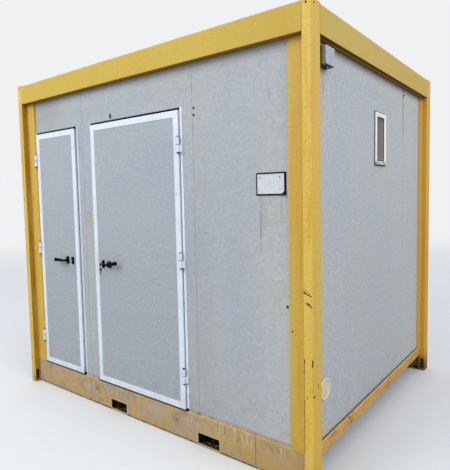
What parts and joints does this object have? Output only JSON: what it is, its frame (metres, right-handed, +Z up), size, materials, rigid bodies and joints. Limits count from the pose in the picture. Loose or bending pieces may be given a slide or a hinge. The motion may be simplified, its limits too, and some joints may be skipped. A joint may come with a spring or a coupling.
{
  "type": "portable site cabin",
  "caption": "Steel-framed portable cabin with grey sandwich-panel walls, a narrow and a wide door in the front, a small side window and fork pockets.",
  "frame": {"origin": "on the ground, under the middle of the cabin", "axes": "+X along the front to the right, +Y from front to back, +Z up"},
  "size_m": [2.8, 2.3005, 2.6],
  "materials": {
    "frame_yellow": "semi-gloss paint, weathered",
    "rail_tan": "faded paint with rust and dust",
    "steel_primer": "red-brown primer",
    "floor_wood": "worn coated plywood",
    "panel_grey": "coil-coated sheet, matte",
    "roof_zinc": "galvanised sheet",
    "white_trim": "white powder coat",
    "door_grey": "coil-coated sheet, matte",
    "black_plastic": "satin black",
    "window_white": "white plastic",
    "window_glass": "brown-grey patterned glass",
    "box_grey": "light grey moulding",
    "cover_cream": "cream moulding"
  },
  "bodies": {
    "cabin": {"post_front_left": "frame_yellow", "post_front_right": "frame_yellow", "post_back_left": "frame_yellow", "post_back_right": "frame_yellow", "top_rail_front": "frame_yellow", "top_rail_back": "frame_yellow", "top_rail_left": "frame_yellow", "top_rail_right": "frame_yellow", "bottom_rail_front": "rail_tan", "bottom_rail_back": "rail_tan", "bottom_rail_left": "frame_yellow", "bottom_rail_right": "frame_yellow", "fork_pocket_left": "rail_tan", "fork_pocket_right": "rail_tan", "floor_joists": "steel_primer", "floor_deck": "floor_wood", "ceiling_panel": "panel_grey", "roof_sheet": "roof_zinc", "front_wall_left": "panel_grey", "front_wall_over_door_1": "panel_grey", "front_wall_between_doors": "panel_grey", "front_wall_over_door_2": "panel_grey", "front_wall_right": "panel_grey", "back_wall": "panel_grey", "left_wall": "panel_grey", "right_wall": "panel_grey", "door_1_frame": "white_trim", "door_2_frame": "white_trim", "door_1_hinge_frame_halves": "white_trim", "door_2_hinge_frame_halves": "white_trim", "window_frame": "window_white", "window_glass": "window_glass", "junction_box": "box_grey", "round_cover": "cover_cream"},
    "door_1": {"door_1_leaf": "door_grey", "door_1_border": "white_trim", "door_1_hinge_leaf_halves": "white_trim", "door_1_lock_furniture": "black_plastic"},
    "door_2": {"door_2_leaf": "door_grey", "door_2_border": "white_trim", "door_2_hinge_leaf_halves": "white_trim", "door_2_lock_furniture": "black_plastic"},
    "lever_1": {"door_1_levers": "black_plastic"},
    "lever_2": {"door_2_levers": "black_plastic"}
  },
  "joints": [
    {"name": "door_1_hinge", "type": "hinge", "parent": "cabin", "child": "door_1", "pos_m": [-1.224, -1.114, 1.2], "axis": [0, 0, -1], "range_deg": [0, 150]},
    {"name": "door_2_hinge", "type": "hinge", "parent": "cabin", "child": "door_2", "pos_m": [0.4405, -1.114, 1.2], "axis": [0, 0, 1], "range_deg": [0, 170]},
    {"name": "lever_1_turn", "type": "hinge", "parent": "door_1", "child": "lever_1", "pos_m": [-0.833, -1.104, 1.129], "axis": [0, -1, 0], "range_deg": [0, 40], "stiffness_Nm_per_rad": 1.2, "springref_deg": -40.11},
    {"name": "lever_2_turn", "type": "hinge", "parent": "door_2", "child": "lever_2", "pos_m": [-0.303, -1.104, 1.129], "axis": [0, 1, 0], "range_deg": [0, 45], "stiffness_Nm_per_rad": 1.2, "springref_deg": -40.11}
  ]
}
